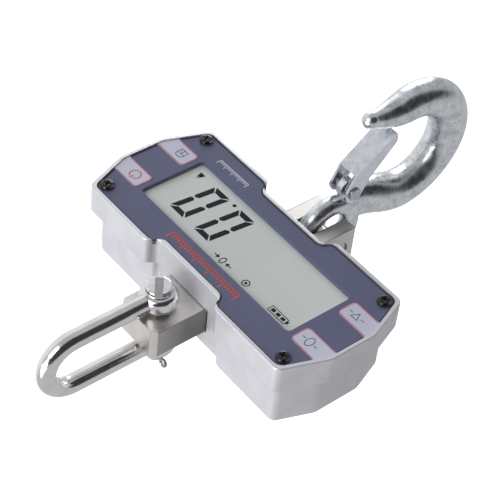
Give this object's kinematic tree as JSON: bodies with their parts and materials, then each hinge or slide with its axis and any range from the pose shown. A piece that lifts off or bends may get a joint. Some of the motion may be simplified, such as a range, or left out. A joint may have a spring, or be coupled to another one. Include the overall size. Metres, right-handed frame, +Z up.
{
  "type": "crane scale",
  "caption": "Hanging electronic scale: shackle on top, flat weighing head with a number display and keys, latched swinging hook below",
  "frame": {"origin": "seat inside the crown of the shackle, where the scale hangs", "axes": "+Z up along the load line, the display faces -Y, +X is to the reader's right"},
  "size_m": [0.1784, 0.111, 0.2827],
  "materials": {
    "shackle_steel": "polished stainless steel, drawn and bent rod",
    "split_pin_steel": "bright steel wire",
    "cell_steel": "satin nickel plate over machined steel",
    "pin_steel": "ground steel",
    "black_steel": "glossy black zinc",
    "gauge_foil": "polyimide foil",
    "housing_alloy": "cast, fine bead blasted satin",
    "seal_rubber": "moulded rubber",
    "panel_print": "printed film, fine matt grain",
    "key_print": "printed film, fine matt grain",
    "display_glass": "display with polarising film",
    "light_guide": "clear acrylic",
    "display_frame": "painted sheet frame",
    "board_laminate": "green solder mask",
    "standoff_brass": "turned brass",
    "small_steel": "nickel plated",
    "chip_resin": "moulded resin",
    "holder_plastic": "moulded plastic",
    "cell_jacket": "printed shrink sleeve",
    "door_plastic": "satin anodised plate",
    "hook_zinc": "forged steel, bright zinc plate",
    "latch_zinc": "pressed steel, blue zinc plate"
  },
  "bodies": {
    "hanger": {"shackle_bow": "shackle_steel", "shackle_pin": "shackle_steel", "split_pin": "split_pin_steel"},
    "head": {"load_cell": "cell_steel", "hook_pin": "pin_steel", "pin_set_screw": "black_steel", "strain_gauges": "gauge_foil", "housing": "housing_alloy", "load_cell_screws": "black_steel", "upper_seal": "seal_rubber", "lower_seal": "seal_rubber", "front_panel": "panel_print", "panel_gasket": "seal_rubber", "panel_screws": "black_steel", "lcd_glass": "display_glass", "backlight": "light_guide", "lcd_frame": "display_frame", "circuit_board": "board_laminate", "board_standoffs": "standoff_brass", "board_screws": "small_steel", "board_chips": "chip_resin", "buzzer": "chip_resin", "key_switches": "chip_resin", "battery_holder": "holder_plastic", "battery_cells": "cell_jacket", "battery_contacts": "small_steel", "battery_door": "door_plastic", "battery_door_screws": "small_steel"},
    "power_key": {"power_key": "key_print"},
    "light_key": {"light_key": "key_print"},
    "zero_key": {"zero_key": "key_print"},
    "tare_key": {"tare_key": "key_print"},
    "hook": {"hook": "hook_zinc", "latch_rivet": "latch_zinc"},
    "latch": {"latch": "latch_zinc", "latch_spring": "split_pin_steel"}
  },
  "joints": [
    {"name": "head_swing", "type": "hinge", "parent": "hanger", "child": "head", "pos_m": [0, 0, -0.0631], "axis": [0, 1, 0], "range_deg": [-90, 90]},
    {"name": "hook_swing", "type": "hinge", "parent": "head", "child": "hook", "pos_m": [0, 0, -0.174], "axis": [1, 0, 0], "range_deg": [-40, 110]},
    {"name": "latch_swing", "type": "hinge", "parent": "hook", "child": "latch", "pos_m": [0, -0.0292, -0.18798], "axis": [1, 0, 0], "range_deg": [0, 42], "stiffness_Nm_per_rad": 0.02, "springref_deg": -34.38},
    {"name": "power_key_press", "type": "slide", "parent": "head", "child": "power_key", "axis": [0, 1, 0], "range_m": [0, 0.0004], "stiffness_N_per_m": 600, "springref_m": -0.0005},
    {"name": "light_key_press", "type": "slide", "parent": "head", "child": "light_key", "axis": [0, 1, 0], "range_m": [0, 0.0004], "stiffness_N_per_m": 600, "springref_m": -0.0005},
    {"name": "zero_key_press", "type": "slide", "parent": "head", "child": "zero_key", "axis": [0, 1, 0], "range_m": [0, 0.0004], "stiffness_N_per_m": 600, "springref_m": -0.0005},
    {"name": "tare_key_press", "type": "slide", "parent": "head", "child": "tare_key", "axis": [0, 1, 0], "range_m": [0, 0.0004], "stiffness_N_per_m": 600, "springref_m": -0.0005}
  ]
}
